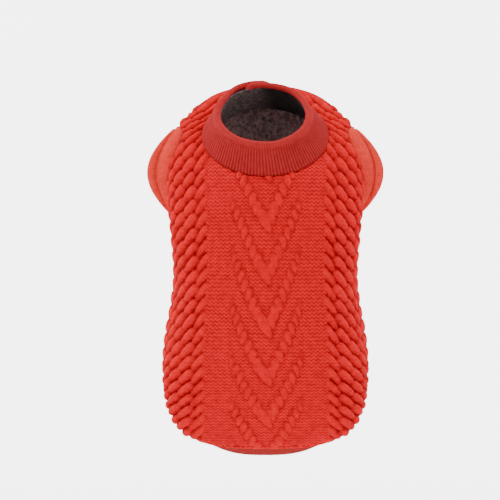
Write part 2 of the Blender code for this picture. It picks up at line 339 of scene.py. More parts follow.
def sections_at(places):
    """Rows of the body's table at places along it, smoothly between the table's rows."""
    rows = np.array(BODY)
    rows = np.vstack([2 * rows[0] - rows[1], rows, 2 * rows[-1] - rows[-2]])
    i = np.minimum(np.asarray(places).astype(int), len(BODY) - 2)
    t = (np.asarray(places) - i)[:, None]
    before, start, end, after = (rows[i + k] for k in range(4))
    smooth = (
        2 * start
        + (end - before) * t
        + (2 * before - 5 * start + 4 * end - after) * t**2
        + (3 * start - before - 3 * end + after) * t**3
    )
    return [Section(*row) for row in smooth / 2]


def half_round(section, samples=160):
    """Points from the spine round to the belly, at +X, spaced closely."""
    turn = np.linspace(0, math.pi / 2, samples)
    power_back, power_belly = 2 / section.back_square, 2 / section.belly_square
    across = np.concatenate([np.sin(turn) ** power_back, np.cos(turn[1:]) ** power_belly])
    deep = np.concatenate([-(np.cos(turn) ** power_back), np.sin(turn[1:]) ** power_belly])
    across[-1] = 0
    y = (section.back_y + section.belly_y) / 2 + deep * (section.belly_y - section.back_y) / 2
    z = (section.back_z + section.belly_z) / 2 + deep * (section.belly_z - section.back_z) / 2
    return np.stack([section.half_width * across, y, z], axis=1)


def at_height(table, height):
    heights, values = np.transpose(table)
    return np.interp(height, heights, values)


def run_along(line):
    """The distance along a line to each of its points."""
    return np.concatenate([[0], np.cumsum(np.linalg.norm(np.diff(line, axis=0), axis=1))])


def rope_reach(line, knit):
    """Distances along a level loop, from where the first rope starts."""
    level = run_along(line[:, :2])
    edge = line[:, 0] - knit.rope_from / MM * at_height(STRETCH, line[:, 2]) / STRETCH_AT_REST
    first = int(np.argmax(edge > 0)) if (edge > 0).any() else int(np.argmax(line[:, 0]))
    return level - level[first]


def body_grid(places, shares, knit):
    """Points of the body's face in millimetres, with how far out each lies from the first rope."""
    middle = half_round(sections_at([4.6])[0])
    middle_reach = rope_reach(middle, knit)
    widest = int(np.argmax(middle[:, 0]))
    points, out = [], []
    for section, row in zip(sections_at(places), shares):
        line = half_round(section)
        along = run_along(line)
        row = row - 2 * np.round(row / 2)
        at = np.abs(row) * along[-1]
        point = np.stack([np.interp(at, along, line[:, k]) for k in range(3)], axis=1)
        scale = STRETCH_AT_REST / at_height(STRETCH, point[:, 2])
        reach = np.interp(at, along, rope_reach(line, knit)) * scale
        upright = np.interp(point[:, 0] * scale, middle[:widest, 0], middle_reach[:widest])
        shoulder = ease(point[:, 2], SHOULDER_HEIGHT - SHOULDER_BLEND, SHOULDER_HEIGHT)
        upright = upright * (1 + NECK_GATHER * ease(point[:, 2], *NECK_GATHER_Z))
        upright = upright + NECK_LEAN * ease(point[:, 2], *NECK_LEAN_Z)
        out.append(reach + (upright - reach) * shoulder)
        point[:, 0] *= np.sign(row)
        points.append(point)
    return np.array(points), np.array(out)


def face_normals(points):
    """Outward normals of a grid whose rows go down and whose columns go round from -X to +X."""
    down, across = np.gradient(points, axis=0), np.gradient(points, axis=1)
    normal = np.cross(down, across)
    return normal / np.linalg.norm(normal, axis=2)[:, :, None]


def rows_down(points):
    """How far down the knit's rows each point is; over the shoulders the rows follow the cloth."""
    down = at_height(KNIT_ROWS, points[..., 2])
    over = np.minimum(points[..., 1], ARMHOLE_Y) - body_back(points[..., 0])
    lift = SHOULDER_ROWS_LIFT * np.maximum(over - SHOULDER_ROWS_FROM, 0)
    return down - lift * ease(points[..., 2], *SHOULDER_ROWS_Z)


def belly_rows_down(places):
    """The same for the belly, whose rows run round it level with its slanted loops."""
    return run_along([(s.belly_y, s.belly_z) for s in sections_at(places)])


def body_back(x):
    """How far back the body's face is at the shoulders' height."""
    share = np.clip(np.abs(x) / SHOULDER_HALF_WIDTH, 0, 0.98)
    return SHOULDER_BACK_Y * (1 - share**SHOULDER_SQUARE) ** (1 / SHOULDER_SQUARE)


def side_seam(places):
    """The side seam's share of the way from the spine to the belly's middle."""
    lean = np.clip(1 - places / SEAM_STRAIGHT_FROM, 0, 1)
    return SIDE_SEAM + (NECK_SEAM_SHARE - SIDE_SEAM) * lean**1.5


def shares_across(places, columns, belly):
    """Each column's share of the way round, from seam to seam over the spine or the belly."""
    seam = side_seam(places)
    ends = (seam, 2 - seam) if belly else (-seam, seam)
    return np.linspace(*ends, columns, axis=1)


def even_places(share, spacing):
    """Places along the body, evenly spaced on the cloth at one share of the way round."""
    places = np.linspace(0, HEM_SEAM, 400)
    line = []
    for section in sections_at(places):
        ring = half_round(section, 60)
        line.append(ring[int(share * (len(ring) - 1))])
    run = run_along(line)
    rows = int(run[-1] / spacing)
    return np.interp(np.linspace(0, run[-1], rows + 1), run, places)


# The knit's relief, in millimetres, and the painted shade that goes with it


def ease(value, low, high):
    """A smooth step from 0 at low to 1 at high."""
    t = np.clip((value - low) / (high - low), 0, 1)
    return t * t * (3 - 2 * t)


def drift(a, b, scale, seed):
    """A gentle unevenness between -1 and 1."""
    turn = seed * 1.7
    total = np.sin(a / scale + turn) * np.cos(b / (1.3 * scale) - turn)
    total += 0.6 * np.sin((a + b) / (0.61 * scale) + 2.1 * turn)
    total += 0.4 * np.cos((a - 1.4 * b) / (0.37 * scale) + 0.7 * turn)
    return total / 2


def leaf(out, down, half_length, half_width, lean):
    """How far each point is from a leaf's middle, 1 on its edge: round at its top, thin below."""
    along = out * np.sin(lean) + down * np.cos(lean)
    aside = out * np.cos(lean) - down * np.sin(lean)
    taper = 1 - 0.28 * np.clip(along / half_length, -1, 1)
    return (along / half_length) ** 2 + (aside / (half_width * taper)) ** 2


def dome(far):
    return np.clip(1 - far, 0, 1) ** 0.55


def zigzag(turns):
    return 4 * np.abs(turns - np.floor(turns + 0.5)) - 1


def purl_rows(across, down, knit):
    row = down / (knit.row / MM) + 0.30 * zigzag(across / (knit.stitch / MM))
    part = 2 * (row - np.floor(row)) - 1
    return knit.purl / MM * (np.clip(1 - np.abs(part) ** 2.2, 0, 1) ** 0.6 - 1.0)


def v_cables(across, down, knit):
    """Nested V's of two travelling cables each, the left crossing over the right at the point.

    Gives their height, and how much deeper the cloth beside them is.
    """
    height, nearest = np.full(across.shape, UNDER_ALL), np.full(across.shape, 9.0)

    def add(lobe, out, lean, base):
        nonlocal height, nearest
        far = leaf(out - lobe.out, base - lobe.down, lobe.half_length, lobe.half_width, lean)
        top = V_FULLNESS * lobe.height * dome(far) - V_SINK
        height = np.maximum(height, np.where(far < 1, top, UNDER_ALL))
        nearest = np.minimum(nearest, far + 2 * (1.6 - min(lobe.height, 1.6)))

    for number in range(-1, V_COUNT - 1):
        base = down - knit.v_start / MM - knit.v_repeat / MM * number
        for index, lobe in enumerate(V_ARM):
            lean = V_LEAN + V_UNEVEN * math.sin(3.1 * index + 5 * number)
            add(lobe, across, lean, base)
            add(lobe, -across, lean, base)
        add(V_LAST, across, V_LEAN, base)
        add(V_CROSSING, -across, V_CROSSING_LEAN, base)
    return height, knit.v_moat / MM * ease(nearest, 2.3, 1.0)


def side_ropes(out, down, knit):
    """Ropes side by side, made of leaning lobes, outwards from the first one's inner edge."""
    width, pitch = knit.rope / MM, knit.rope_pitch / MM
    phases = np.array(ROPE_PHASES)
    height = np.full(out.shape, UNDER_ALL)
    for beside in (-1, 0, 1):
        column = np.floor(out / width) + beside
        phase = phases[np.clip(column, 0, len(phases) - 1).astype(int)]
        wander = ROPE_WANDER * drift(column * 9, down, 31, 3)
        lean = knit.lobe_lean + LOBE_LEAN_MORE * np.clip(column, 0, 2)
        wide = knit.lobe_width / MM * (np.sin(lean) / math.sin(knit.lobe_lean)) ** 0.8
        long = knit.lobe_length / MM - LOBE_SHORTER * np.clip(column, 0, 3)
        tall = knit.rope_height / MM * np.where(column > 0, 1.0, FIRST_ROPE_HEIGHT)
        for above in (-1, 0, 1):
            lobe = np.floor(down / pitch - phase - wander + 0.5) + above
            x = out - (column + 0.5) * width - 0.45 * drift(column * 7, lobe * 9, 8, 4)
            y = down - (lobe + phase + wander) * pitch
            size = 1 + 0.07 * drift(column * 5, lobe * 8, 5, 6)
            along = (x * np.sin(lean) + y * np.cos(lean)) / (long * size)
            aside = (x * np.cos(lean) - y * np.sin(lean)) / (wide * size)
            far = np.abs(along) ** 3.5 + (aside / (1 - 0.12 * np.clip(along, -1, 1))) ** 2
            rope = tall * size * (1 - 0.13 * along) * dome(far) - knit.rope_ground / MM
            real = (column >= 0) & (column < ROPE_COLUMNS) & (far < 1)
            height = np.maximum(height, np.where(real, rope, UNDER_ALL))
    between = (out > 0.25 * width) & (out < (ROPE_COLUMNS - 0.1) * width)
    return np.where(between, np.maximum(height, -knit.rope_ground / MM), height)


def relief(points, out, down, knit, belly):
    """Height of the knit over the body's face, where it is rope, and its stitch coordinates.

    The belly's ropes are only the ones that come over from the back, above the armholes.
    """
    side = np.where(points[:, :, 0] < 0, -1, 1)
    scale = STRETCH_AT_REST / at_height(STRETCH, points[..., 2])
    across = np.where(out > 0, side * (knit.rope_from / MM + out), points[:, :, 0] * scale)
    down = down + 0.5 * drift(across, down, 23, 1)
    across = across + 0.35 * drift(down, across, 19, 2)
    ground = purl_rows(across, down, knit) * (1 + 0.12 * drift(across, down, 9, 4))
    over = ease(points[..., 2], *BELLY_ROPES_Z) * ease(points[..., 1], *BELLY_ROPES_Y)
    height = side_ropes(out, rows_down(points), knit)
    if belly:
        height = height - 8 * (1 - over)
    else:
        cables, moat = v_cables(across, down, knit)
        height = np.maximum(height, cables)
        ground = ground - moat
    rope = (height > ground) | ((out > 0.25 * knit.rope / MM) & ((not belly) | (over > 0.9)))
    ground = np.where(rope & (height > -5), height, ground)
    return ground, rope, np.stack([across / (knit.stitch / MM), down / (knit.row / MM)], axis=2)


def drawn_in(points, knit):
    """How far the ropes draw in the shoulders; it is negative where the lower corners puff out."""
    aside = np.abs(points[..., 0])
    shoulder = ease(points[..., 2], *DRAWN_SHOULDER_Z)
    shoulder = shoulder * ease(aside, *DRAWN_SHOULDER_X)
    corner = ease(points[..., 2], *FULL_CORNER_Z) * ease(aside, *FULL_CORNER_X)
    corner = corner * ease(points[..., 1], *FULL_CORNER_Y)
    return (knit.shoulder * shoulder - knit.corner * corner) / MM


def knit_shade(height, rope, out, lip):
    """Painted shade for the yarn: 0 deep in a groove and 1 on top; past 1 on the hem's lip, a
    painted highlight.
    """
    v_shade = np.clip((height + 1.3) / 2.3, 0, 0.88)
    rope_shade = np.where(out > 0, np.clip((height + 2.5) / 3.9, 0, 1), v_shade)
    shade = np.where(rope, rope_shade, 0.90 + 0.25 * height)
    return shade + (LIP_HIGHLIGHT - shade) * lip


def armhole_reach(points):
    """1 on the armhole's edge, less inside and more outside, seen from the side."""
    y = (points[..., 1] - ARMHOLE_Y) / ARMHOLE_HALF_DEPTH
    z = (points[..., 2] - ARMHOLE_Z) / ARMHOLE_HALF_HEIGHT
    return np.where(np.abs(points[..., 0]) > 50, np.hypot(y, z), 9.0)


# Meshes


def grid_faces(rows, columns, closed_round=False):
    top = np.arange(rows - 1)[:, None] * columns
    spans = columns if closed_round else columns - 1
    left = np.arange(spans)[None, :]
    right = (left + 1) % columns
    quad = np.stack([top + left, top + columns + left, top + columns + right, top + right], axis=2)
    return quad.reshape(-1, 4)


def add_object(name, data):
    made = bpy.data.objects.new(name, data)
    bpy.context.scene.collection.objects.link(made)
    return made


def new_piece(name, points, faces, material, attributes, stitches=None):
    """A mesh piece at the origin from points in millimetres."""
    mesh = bpy.data.meshes.new(name)
    mesh.from_pydata((np.asarray(points) * MM).tolist(), [], np.asarray(faces).tolist())
    if stitches is not None:
        corners = np.asarray(stitches, np.float32)[np.asarray(faces).ravel()]
        mesh.uv_layers.new(name="stitches").data.foreach_set("uv", corners.ravel())
    for key, values in attributes.items():
        layer = mesh.attributes.new(key, "FLOAT", "POINT")
        layer.data.foreach_set("value", np.asarray(values, np.float32))
    mesh.shade_smooth()
    mesh.materials.append(material)
    return add_object(name, mesh)


def settle(piece, nodes):
    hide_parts(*nodes)
    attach(piece, "root")


def surface_area(points, faces):
    """Area of quads, in square metres."""
    a, b, c, d = (points[faces[:, k]] for k in range(4))
    whole = np.linalg.norm(np.cross(c - a, d - b), axis=1).sum() / 2
    return whole * MM * MM


# Materials

PATCH_SCALE = 230.0
PATCH_WEIGHT = 0.75
FIBRE_WEIGHT = 0.95
ROPE_SMOOTHNESS = 0.74
STITCH_BUMP = 1.3
STITCH_SHADE = 0.74
YARN_BUMP_DEPTH = 0.0006
YARN_LOOK = {
    "Roughness": 0.95,
    "Specular IOR Level": 0.06,
    "Sheen Weight": 0.11,
    "Sheen Roughness": 0.45,
    "Sheen Tint": (1.0, 0.30, 0.26, 1),
}
TUFT_SCALE = 620.0
CLUMP_SCALE = 300.0
FLEECE_SHADOW = (0.006, 0.004, 0.005, 1)
FLEECE_BUMP_DEPTH = 0.0015
FLEECE_LOOK = {
    "Roughness": 0.95,
    "Specular IOR Level": 0.1,
    "Sheen Weight": 0.08,
    "Sheen Roughness": 0.6,
    "Sheen Tint": (0.8, 0.72, 0.7, 1),
}


def new_material(name):
    material = bpy.data.materials.new(name)
    material.use_nodes = True
    tree = material.node_tree
    return material, tree, tree.nodes["Principled BSDF"]


def node(tree, kind, inputs=None, **settings):
    made = tree.nodes.new(kind)
    for key, value in settings.items():
        setattr(made, key, value)
    for key, value in (inputs or {}).items():
        if isinstance(value, bpy.types.NodeSocket):
            tree.links.new(value, made.inputs[key])
        else:
            made.inputs[key].default_value = value
    return made


def maths(tree, operation, *values):
    return node(tree, "ShaderNodeMath", dict(enumerate(values)), operation=operation).outputs[0]


def noise(tree, scale, detail=3.0, roughness=0.5):
    """Noise that stays with the piece."""
    place = node(tree, "ShaderNodeTexCoord").outputs["Object"]
    inputs = {"Vector": place, "Scale": scale, "Detail": detail, "Roughness": roughness}
    return node(tree, "ShaderNodeTexNoise", inputs).outputs["Fac"]


def mix(tree, share, low, high):
    inputs = {"Factor": share, "A": low, "B": high}
    return node(tree, "ShaderNodeMix", inputs, data_type="RGBA").outputs["Result"]


def attribute(tree, name):
    return node(tree, "ShaderNodeAttribute", attribute_name=name).outputs["Fac"]


def finish_cloth(tree, shader, base, height, strength, distance, look):
    """Gives a cloth its colour, its bump and the rest of its look."""
    tree.links.new(base, shader.inputs["Base Color"])
    inputs = {"Height": height, "Strength": strength, "Distance": distance}
    bump = node(tree, "ShaderNodeBump", inputs)
    tree.links.new(bump.outputs["Normal"], shader.inputs["Normal"])
    for name, value in look.items():
        shader.inputs[name].default_value = value


def soft_share(tree, value, low, high):
    ends = {"Value": value, "From Min": low, "From Max": high}
    return node(tree, "ShaderNodeMapRange", ends, interpolation_type="SMOOTHSTEP").outputs["Result"]


def stitch_grooves(tree):
    """1 on a purl stitch and 0 in the zigzag groove between its rows, from the knit's own map."""
    place = node(tree, "ShaderNodeUVMap", uv_map="stitches").outputs["UV"]
    apart = node(tree, "ShaderNodeSeparateXYZ", {"Vector": place}).outputs
    bent = maths(tree, "MULTIPLY_ADD", maths(tree, "PINGPONG", apart["X"], 0.5), 1.2, -0.30)
    row = maths(tree, "ADD", apart["Y"], bent)
    return soft_share(tree, maths(tree, "PINGPONG", row, 0.5), 0.0, 0.19)


def yarn_material(name, top, groove, fuzz=0.35, grain=1100.0, stitches=False):
    """Wool yarn with painted shade, darker in its grooves, with a fuzzy bump and a soft sheen."""
    material, tree, shader = new_material(name)
    fibres, patches = noise(tree, grain, roughness=0.6), noise(tree, PATCH_SCALE)
    # The "relief" attribute is painted shade: 0 takes the grooves' shadow colour, 1 the top colour.
    bumps, shade = fibres, attribute(tree, "relief")
    if stitches:
        rope = maths(tree, "MULTIPLY", attribute(tree, "rope"), ROPE_SMOOTHNESS)
        purl = maths(tree, "MAXIMUM", stitch_grooves(tree), rope)
        bumps = maths(tree, "MULTIPLY_ADD", purl, STITCH_BUMP, fibres)
        # The stitches' grooves get painted shade too, less of it on the ropes.
        groove_shade = maths(tree, "MULTIPLY_ADD", purl, STITCH_SHADE, 1 - STITCH_SHADE)
        shade = maths(tree, "MULTIPLY", shade, groove_shade)
    # Fibres and patches add random tone to the painted shade.
    for spots, weight in ((fibres, FIBRE_WEIGHT), (patches, PATCH_WEIGHT)):
        spots = maths(tree, "SUBTRACT", spots, 0.5)
        shade = maths(tree, "MULTIPLY_ADD", spots, weight, shade)
    share = node(tree, "ShaderNodeClamp", {"Value": shade}).outputs[0]
    base = mix(tree, share, groove, top)
    finish_cloth(tree, shader, base, bumps, fuzz, YARN_BUMP_DEPTH, YARN_LOOK)
    return material


def fleece_material(name, dark, light):
    """Brushed fleece with clumped tufts, darkened by its "shade" attribute."""
    material, tree, shader = new_material(name)
    tufts, clumps = noise(tree, TUFT_SCALE, 5.0, 0.75), noise(tree, CLUMP_SCALE)
    both = maths(tree, "MULTIPLY_ADD", tufts, 0.65, clumps)
    ends = {"Value": both, "From Min": 0.62, "From Max": 1.06}
    share = node(tree, "ShaderNodeMapRange", ends).outputs["Result"]
    base = mix(tree, attribute(tree, "shade"), FLEECE_SHADOW, mix(tree, share, dark, light))
    finish_cloth(tree, shader, base, both, 0.7, FLEECE_BUMP_DEPTH, FLEECE_LOOK)
    return material


# Ribs, made by Geometry Nodes


def rib_tree():
    """Pushes a fine surface out in ribs that run across its "round" attribute."""
    name = "Knit ribs"
    if name in bpy.data.node_groups:
        return bpy.data.node_groups[name]
    tree = bpy.data.node_groups.new(name, "GeometryNodeTree")
    new_socket = tree.interface.new_socket
    new_socket("Geometry", in_out="INPUT", socket_type="NodeSocketGeometry")
    for label, value in (("Rib pitch", 0.003), ("Rib depth", 0.0007), ("Unevenness", 0.0002)):
        socket = new_socket(label, in_out="INPUT", socket_type="NodeSocketFloat")
        socket.default_value = value
        socket.subtype = "DISTANCE"
    new_socket("Yarn", in_out="INPUT", socket_type="NodeSocketMaterial")
    new_socket("Geometry", in_out="OUTPUT", socket_type="NodeSocketGeometry")
    given = tree.nodes.new("NodeGroupInput").outputs

    def named(key):
        made = node(tree, "GeometryNodeInputNamedAttribute", {"Name": key}, data_type="FLOAT")
        return made.outputs["Attribute"]

    turns = maths(tree, "DIVIDE", named("round"), given["Rib pitch"])
    wave = maths(tree, "COSINE", maths(tree, "MULTIPLY", turns, math.tau))
    ridge = maths(tree, "POWER", maths(tree, "MULTIPLY_ADD", wave, 0.5, 0.5), 0.7)
    lift = maths(tree, "MULTIPLY", maths(tree, "SUBTRACT", ridge, 1.0), named("ribbed"))
    rough = node(tree, "ShaderNodeTexNoise", {"Scale": 160.0, "Detail": 2.0}).outputs["Fac"]
    uneven = maths(tree, "MULTIPLY", maths(tree, "SUBTRACT", rough, 0.5), given["Unevenness"])
    offset = maths(tree, "MULTIPLY_ADD", lift, given["Rib depth"], uneven)
    normal = tree.nodes.new("GeometryNodeInputNormal").outputs["Normal"]
    push = {0: normal, "Scale": offset}
    push = node(tree, "ShaderNodeVectorMath", push, operation="SCALE").outputs[0]
    # The ribs' height, kept as "relief" for the yarn's painted shade in the grooves.
    height = maths(tree, "ADD", lift, 1.0)
    store = {"Geometry": given["Geometry"], "Name": "relief", "Value": height}
    kind = {"data_type": "FLOAT", "domain": "POINT"}
    made = node(tree, "GeometryNodeStoreNamedAttribute", store, **kind).outputs[0]
    for kind, inputs in (
        ("GeometryNodeSetPosition", {"Offset": push}),
        ("GeometryNodeRealizeInstances", {}),
        ("GeometryNodeSetMaterial", {"Material": given["Yarn"]}),
    ):
        made = node(tree, kind, {"Geometry": made, **inputs}).outputs[0]
    tree.links.new(made, tree.nodes.new("NodeGroupOutput").inputs["Geometry"])
    return tree


def apply_tree(piece, tree, values):
    """Runs a Geometry Nodes tree on a piece and keeps the plain mesh that it makes."""
    modifier = piece.modifiers.new(tree.name, "NODES")
    modifier.node_group = tree
    for item in tree.interface.items_tree:
        if item.item_type == "SOCKET" and item.in_out == "INPUT" and item.name in values:
            modifier[item.identifier] = values[item.name]
    graph = bpy.context.evaluated_depsgraph_get()
    made = bpy.data.meshes.new_from_object(piece.evaluated_get(graph), depsgraph=graph)
    piece.modifiers.remove(modifier)
    before = piece.data
    piece.data = made
    bpy.data.meshes.remove(before)
    made.name = piece.name
    made.shade_smooth()


def run_round(ring, pitch, made_pitch, rows):
    """Distances round a ring for each row of a grid, scaled so that whole ribs fit round it."""
    steps = np.linalg.norm(np.diff(ring, axis=0, append=ring[:1]), axis=1)
    run, whole = np.concatenate([[0], np.cumsum(steps)[:-1]]), steps.sum()
    return np.tile(run * round(whole / pitch) * made_pitch / whole, (rows, 1))


def ribbed_piece(name, grid, ribbed, round_run, material, rib, closed_round=False):
    """A skin with ribs as strong as ribbed says: its rows go along them, its columns round."""
    rows, columns = grid.shape[:2]
    faces = grid_faces(rows, columns, closed_round)
    attributes = {"round": (round_run * MM).ravel(), "ribbed": (ribbed + 0 * round_run).ravel()}
    piece = new_piece(name, grid.reshape(-1, 3), faces, material, attributes)
    values = {
        "Rib pitch": rib.pitch,
        "Rib depth": rib.depth,
        "Unevenness": 0.25 * rib.depth,
        "Yarn": material,
    }
    apply_tree(piece, rib_tree(), values)
    return piece


# Operators, one for each piece or group of like pieces


def cut_armholes(points, faces):
    """Leaves out the faces inside the armholes, and pulls the points next to them onto the edge."""
    reach = armhole_reach(points)
    kept = (reach.ravel()[faces] > 1).any(axis=1)
    middle = np.array([0, ARMHOLE_Y, ARMHOLE_Z])
    pulled = middle + (points - middle) / np.maximum(reach, 0.2)[..., None]
    pulled[..., 0] = points[..., 0]
    return np.where((reach < 1)[..., None], pulled, points), faces[kept], reach


def turned_edges(skin, normal, reach, depth):
    """A strip that turns in along each side of a grid: its points and its faces."""
    index = np.arange(reach.size).reshape(reach.shape)
    points, faces, count = [], [], reach.size
    edges = ((0, slice(None)), (-1, slice(None)), (slice(None), 0), (slice(None), -1))
    for number, edge in enumerate(edges):
        rim, start = index[edge], count + np.arange(len(index[edge]))
        count += len(rim)
        points.append(skin[edge] - depth * normal[edge])
        quad = np.stack([rim[:-1], rim[1:], start[1:], start[:-1]], axis=1)
        if number in (1, 2):
            quad = quad[:, ::-1]
        faces.append(quad[(reach[edge][:-1] > 1) & (reach[edge][1:] > 1)])
    return np.vstack(points), np.vstack(faces)


def shell(outer, inner, faces):
    """Closes two skins with the same faces into one wall."""
    step = len(outer)
    ends = np.stack([faces, np.roll(faces, -1, axis=1)], axis=2).reshape(-1, 2)
    code, back = ends[:, 0] * step + ends[:, 1], ends[:, 1] * step + ends[:, 0]
    a, b = ends[~np.isin(code, back)].T
    rim = np.stack([b, a, a + step, b + step], axis=1)
    return np.vstack([outer, inner]), np.vstack([faces, faces[:, ::-1] + step, rim])


def panel(name, nodes, columns, spacing_share, knit, belly):
    """A knit panel: a fine skin with its relief, its edges turned in."""
    places = even_places(spacing_share, knit.cell / MM * 0.9)
    points, out = body_grid(places, shares_across(places, columns, belly), knit)
    normal = face_normals(points)
    down = belly_rows_down(places)[:, None] + 0 * out if belly else rows_down(points)
    height, rope, stitches = relief(points, out, down, knit, belly)
    drawn = drawn_in(points, knit)
    height = np.maximum(height - drawn, DEEPEST_RELIEF)
    points, faces, reach = cut_armholes(points, grid_faces(*out.shape))
    area = surface_area(points.reshape(-1, 3), faces)
    flat = ease(reach, 1.0, 1.04) * ease(places, 0.05, 0.3)[:, None]
    hemmed = ease(places, *HEM_FLAT)[:, None]
    height = height * flat * (1 - 0.8 * hemmed) - 1.0 * (1 - flat) + 0.7 * hemmed
    # Painted shade from the relief: grooves, moats and lobe edges darker, the hem's lip a painted
    # highlight.
    shade = knit_shade(height + drawn, rope, out, ease(places, *HEM_LIP_HIGHLIGHT)[:, None])
    skin = points + height[:, :, None] * normal
    edge_points, edge_faces = turned_edges(skin, normal, reach, EDGE_DEPTH)
    more = len(edge_points)
    faces = np.vstack([faces, edge_faces])
    used, renumbered = np.unique(faces, return_inverse=True)
    points = np.vstack([skin.reshape(-1, 3), edge_points])[used]
    # The turned edges get their painted shade here too.
    shades = np.concatenate([shade.ravel(), np.full(more, EDGE_SHADE)])[used]
    ropes = np.concatenate([rope.ravel(), np.ones(more)])[used]
    maps = np.vstack([stitches.reshape(-1, 2), np.zeros((more, 2))])[used]
    material = yarn_material(name, knit.red, knit.deep_shadow_red, fuzz=0.5, stitches=True)
    # "relief" carries the painted shade to the yarn's colour.
    attributes = {"relief": shades, "rope": ropes}
    piece = new_piece(name, points, renumbered.reshape(-1, 4), material, attributes, maps)
    settle(piece, nodes)
    return piece, area


class OBJECT_OT_sweater_panels(bpy.types.Operator):
    """Knits the back panel and the belly panel"""

    bl_idname = "sweater.panels"
    bl_label = "Back and belly"

    def execute(self, context):
        knit = context.scene.sweater_knit
        columns = int(2 * SIDE_SEAM * HALF_GIRTH / (knit.cell / MM))
        piece, area = panel("knit_back", ["back_panel"], columns + 1, 0.0, knit, belly=False)
        columns = int(columns * BELLY_TO_BACK)
        piece, area = panel("knit_belly", ["belly_panel"], columns + 1, 0.8, knit, belly=True)
        return {"FINISHED"}


def cuff_loop(side, from_rim, wall, turns):
    """A loop round a cuff, so far in from its rim and from its outer face."""
    toward, up = np.sin(turns), np.cos(turns)
    bow = CUFF_BOW * toward**2
    deep = from_rim * (CUFF_NARROW + (1 - CUFF_NARROW) * toward**2)
    x = side * (CUFF_X + bow - deep)
    y = ARMHOLE_Y + (CUFF_HALF_DEPTH - wall) * toward
    z = CUFF_Z + (CUFF_HALF_HEIGHT - wall) * up + CUFF_FLARE * from_rim * np.maximum(up, 0) ** 2
    return np.stack([x, y, z], axis=1)


def body_x(y, z):
    """How far out the body's face is at points seen from the side."""
    low, high = np.zeros(len(y)), np.full(len(y), HEM_EDGE)
    for _ in range(36):
        place = (low + high) / 2
        s = np.array(sections_at(place))
        along_y, along_z = s[:, 2] - s[:, 0], s[:, 3] - s[:, 1]
        past = (y - s[:, 0]) * along_z - (z - s[:, 1]) * along_y > 0
        low, high = np.where(past, place, low), np.where(past, high, place)
    reach = along_y**2 + along_z**2
    deep = 2 * ((y - s[:, 0]) * along_y + (z - s[:, 1]) * along_z) / reach - 1
    square = np.where(deep < 0, s[:, 5], s[:, 6])
    return s[:, 4] * np.clip(1 - np.abs(deep) ** square, 0, 1) ** (1 / square)


class CuffPlace(NamedTuple):
    """One line round a cuff's outline, in millimetres: in from its rim, and in from its face."""

    in_from_rim: float
    wall: float


CUFF = (
    CuffPlace(CUFF_LENGTH + 1.0, 1.2),
    CuffPlace(CUFF_LENGTH, 0.0),
    CuffPlace(5.6, -0.9),
    CuffPlace(4.0, -1.3),
    CuffPlace(2.2, -1.2),
    CuffPlace(0.8, -0.5),
    CuffPlace(0.0, 0.9),
    CuffPlace(0.1, 2.2),
    CuffPlace(1.0, 3.0),
    CuffPlace(3.0, 3.3),
    CuffPlace(CUFF_LENGTH, 3.4),
    CuffPlace(CUFF_LENGTH + 3, 3.2),
)
CUFF_RIBBED = 0.14
SLEEVE_SHARES = np.linspace(-0.12, 1.0, 30)
SLEEVE_OVERLAP = 1.2
SLEEVE_TOP_PUFF = 0.4
# How dark the sleeve's painted shade is, as a share of its red.
SLEEVE_GROOVE = 0.45


class OBJECT_OT_sweater_sleeves(bpy.types.Operator):
    """Makes the cap sleeves and their folded cuffs"""

    bl_idname = "sweater.sleeves"
    bl_label = "Sleeves and cuffs"

    def execute(self, context):
        sleeve, rib = context.scene.sweater_sleeve, context.scene.sweater_rib
        knit = context.scene.sweater_knit
        turns = np.linspace(0, math.tau, 240, endpoint=False)
        foot_y = ARMHOLE_Y + ARMHOLE_HALF_DEPTH * np.sin(turns)
        foot_z = ARMHOLE_Z + ARMHOLE_HALF_HEIGHT * np.cos(turns)
        foot_x = body_x(foot_y, foot_z)
        # The sleeve's groove colour is painted shade, its red darkened.
        groove_shadow_red = [SLEEVE_GROOVE * value for value in sleeve.red[:3]] + [1]
        fine = np.linspace(0, math.tau, 480, endpoint=False)
        shares = SLEEVE_SHARES[:, None]
        way = np.maximum(shares, 0)
        bend, bulge = 1 - np.cos(way * math.pi / 2), np.sin(math.pi * way)
        puff = sleeve.puff / MM * bulge**0.8
        pitch = rib.pitch / MM
        for word, side in (("left", -1), ("right", 1)):
            rim = cuff_loop(side, CUFF_LENGTH, 0.3, turns)
            x = side * (foot_x - SLEEVE_OVERLAP + 18 * np.minimum(shares, 0))
            x = x + (rim[:, 0] - x) * way
            y = foot_y + (rim[:, 1] - foot_y) * bend + puff * np.sin(turns)
            z = foot_z + (rim[:, 2] - foot_z) * bend + puff * np.cos(turns)
            z = z + SLEEVE_TOP_PUFF * bulge**0.7 * np.maximum(np.cos(turns), 0) ** 3
            grid = np.stack([x, y, z], axis=2)
            cuff = np.array([cuff_loop(side, *line, fine) for line in CUFF])
            if side > 0:
                grid, cuff = grid[:, ::-1], cuff[:, ::-1]
            cloth = yarn_material(f"fine_knit_{word}", sleeve.red, groove_shadow_red, 0.4, grain=900)
            points, faces = grid.reshape(-1, 3), grid_faces(*grid.shape[:2], closed_round=True)
            # Painted shade along the sleeve: darkest where it tucks under the body, never fully
            # lit, darker again by the cuff.
            level = ease(SLEEVE_SHARES, -0.05, 0.2)
            level = 0.78 * level * (1 - 0.85 * ease(SLEEVE_SHARES, 0.8, 1))
            painted_shade_rows = {"relief": np.repeat(level, len(turns))}
            piece = new_piece(f"fine_{word}", points, faces, cloth, painted_shade_rows)
            settle(piece, [f"sleeve_{word}"])
            run = run_round(cuff[3], pitch, pitch, len(cuff))
            band = yarn_material(f"cuff_{word}", sleeve.red, knit.deep_shadow_red)
            piece = ribbed_piece(f"rib_cuff_{word}", cuff, CUFF_RIBBED, run, band, rib, True)
            settle(piece, [f"cuff_{word}"])
        return {"FINISHED"}


